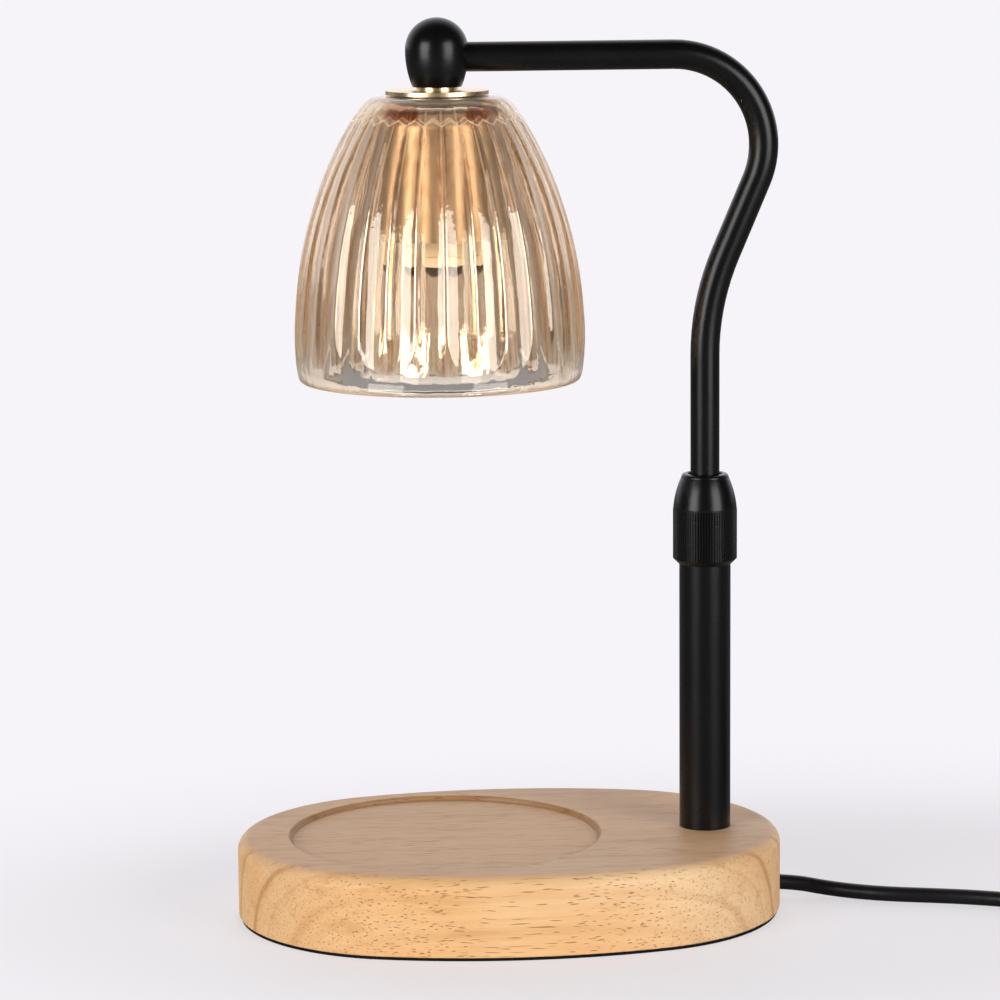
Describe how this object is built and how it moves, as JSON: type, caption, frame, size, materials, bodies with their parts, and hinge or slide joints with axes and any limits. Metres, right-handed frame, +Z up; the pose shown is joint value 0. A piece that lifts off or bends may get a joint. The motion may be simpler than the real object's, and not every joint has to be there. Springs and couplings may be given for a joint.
{
  "type": "candle warmer lamp",
  "caption": "Height-adjustable swan-neck lamp with a fluted glass shade over a wooden base that melts a candle from above, with a corded inline dimmer.",
  "frame": {"origin": "centre of the underside of the base", "axes": "+X along the base towards the post, +Y to the back, +Z up"},
  "size_m": [0.4724, 0.118, 0.279],
  "materials": {
    "wood": "oiled light hardwood",
    "foam": "matt foam sheet",
    "black_metal": "satin black powder coat",
    "gold": "polished champagne gold",
    "zinc_steel": "zinc plated",
    "nylon": "natural nylon",
    "amber_glass": "pressed lustre glass, smooth inside and fluted outside",
    "silicone": "clear silicone",
    "satin_steel": "satin nickel",
    "ceramic": "unglazed steatite",
    "brass": "plain",
    "reflector": "dichroic reflector",
    "clear_glass": "clear",
    "cord_pvc": "satin black PVC",
    "black_plastic": "fine spark texture",
    "green_board": "glass epoxy board"
  },
  "bodies": {
    "stand": {"base_board": "wood", "base_pad": "foam", "cord_clip": "black_plastic", "clip_screws": "zinc_steel", "post_tube": "black_metal", "foot_plug": "zinc_steel", "hollow_stud": "zinc_steel", "foot_washer": "zinc_steel", "foot_nut": "zinc_steel", "base_flex": "cord_pvc", "post_ferrule": "brass", "collet": "nylon", "slack_flex": "cord_pvc", "dimmer_bottom": "black_plastic", "dimmer_top": "black_plastic", "dimmer_screws": "zinc_steel", "dimmer_board": "green_board", "dimmer_control": "black_plastic", "dimmer_relief_in": "black_plastic", "dimmer_relief_out": "black_plastic", "cord_to_dimmer": "cord_pvc", "cord_to_coil": "cord_pvc", "cord_to_plug": "cord_pvc", "cord_coil": "cord_pvc", "plug_body": "black_plastic", "plug_blades": "brass"},
    "guide": {"guide_bush": "nylon"},
    "neck": {"neck_tube": "black_metal", "bush_clips": "zinc_steel", "arm_ball": "black_metal", "neck_flex": "cord_pvc", "hanger_nipple": "zinc_steel", "gold_ring": "gold", "gold_flange": "gold", "upper_gasket": "silicone", "glass_shade": "amber_glass", "lower_gasket": "silicone", "holder_cup": "satin_steel", "cup_nut": "zinc_steel", "holder_bridge": "zinc_steel", "bridge_screws": "zinc_steel", "lamp_holder": "ceramic", "holder_contacts": "brass", "holder_leads": "nylon"},
    "bulb": {"bulb_reflector": "reflector", "bulb_lens": "clear_glass", "bulb_base": "ceramic", "bulb_pins": "zinc_steel", "bulb_capsule": "clear_glass"},
    "ring": {"pressure_ring": "nylon"},
    "collar": {"lock_collar": "black_metal"},
    "wheel": {"dimmer_wheel": "black_plastic"}
  },
  "joints": [
    {"name": "neck_slide", "type": "slide", "parent": "stand", "child": "guide", "axis": [0, 0, 1], "range_m": [-0.026, 0.028], "deforming": ["slack_flex"]},
    {"name": "neck_swivel", "type": "hinge", "parent": "guide", "child": "neck", "pos_m": [0.0618, 0, 0.07], "axis": [0, 0, 1], "range_deg": [-170, 170]},
    {"name": "bulb_twist", "type": "hinge", "parent": "neck", "child": "bulb", "pos_m": [-0.0202, 0, 0.2], "axis": [0, 0, 1], "range_deg": [0, 25]},
    {"name": "collar_rise", "type": "slide", "parent": "stand", "child": "ring", "axis": [0, 0, 1], "range_m": [0, 0.00075]},
    {"name": "collar_twist", "type": "hinge", "parent": "ring", "child": "collar", "pos_m": [0.0618, 0, 0.12], "axis": [0, 0, 1], "range_deg": [0, 180]},
    {"name": "dimmer_turn", "type": "hinge", "parent": "stand", "child": "wheel", "pos_m": [0.298, -0.044, 0.006], "axis": [0, 0, 1], "range_deg": [0, 270]}
  ],
  "couplings": [
    {"joint": "collar_twist", "follows": "collar_rise", "rad_per_m": 4188.8}
  ]
}
